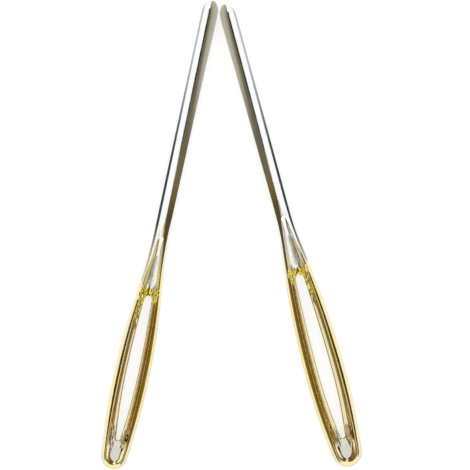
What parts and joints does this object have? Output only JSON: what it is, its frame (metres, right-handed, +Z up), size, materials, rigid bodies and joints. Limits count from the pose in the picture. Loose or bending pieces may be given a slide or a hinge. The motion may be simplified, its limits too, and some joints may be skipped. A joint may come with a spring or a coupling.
{
  "type": "yarn needles",
  "caption": "Blunt steel yarn needles with long gold-plated eyes for sewing up knitting, laid in a V with the tips together.",
  "frame": {"origin": "centre of the pair's box, on the table that the needles lie on", "axes": "+Y towards the tips, +Z up from the table, +X to the right-hand needle"},
  "size_m": [0.0382, 0.0686, 0.0027],
  "materials": {
    "plated_steel": "polished steel wire, nickel-plated on the shaft and gold-plated over the eye"
  },
  "bodies": {
    "left_needle": {"left_needle": "plated_steel"},
    "right_needle": {"right_needle": "plated_steel"}
  },
  "joints": [
    {"name": "right_needle_lift", "type": "slide", "parent": "left_needle", "child": "right_needle", "axis": [0, 0, 1], "range_m": [0, 0.02]}
  ]
}
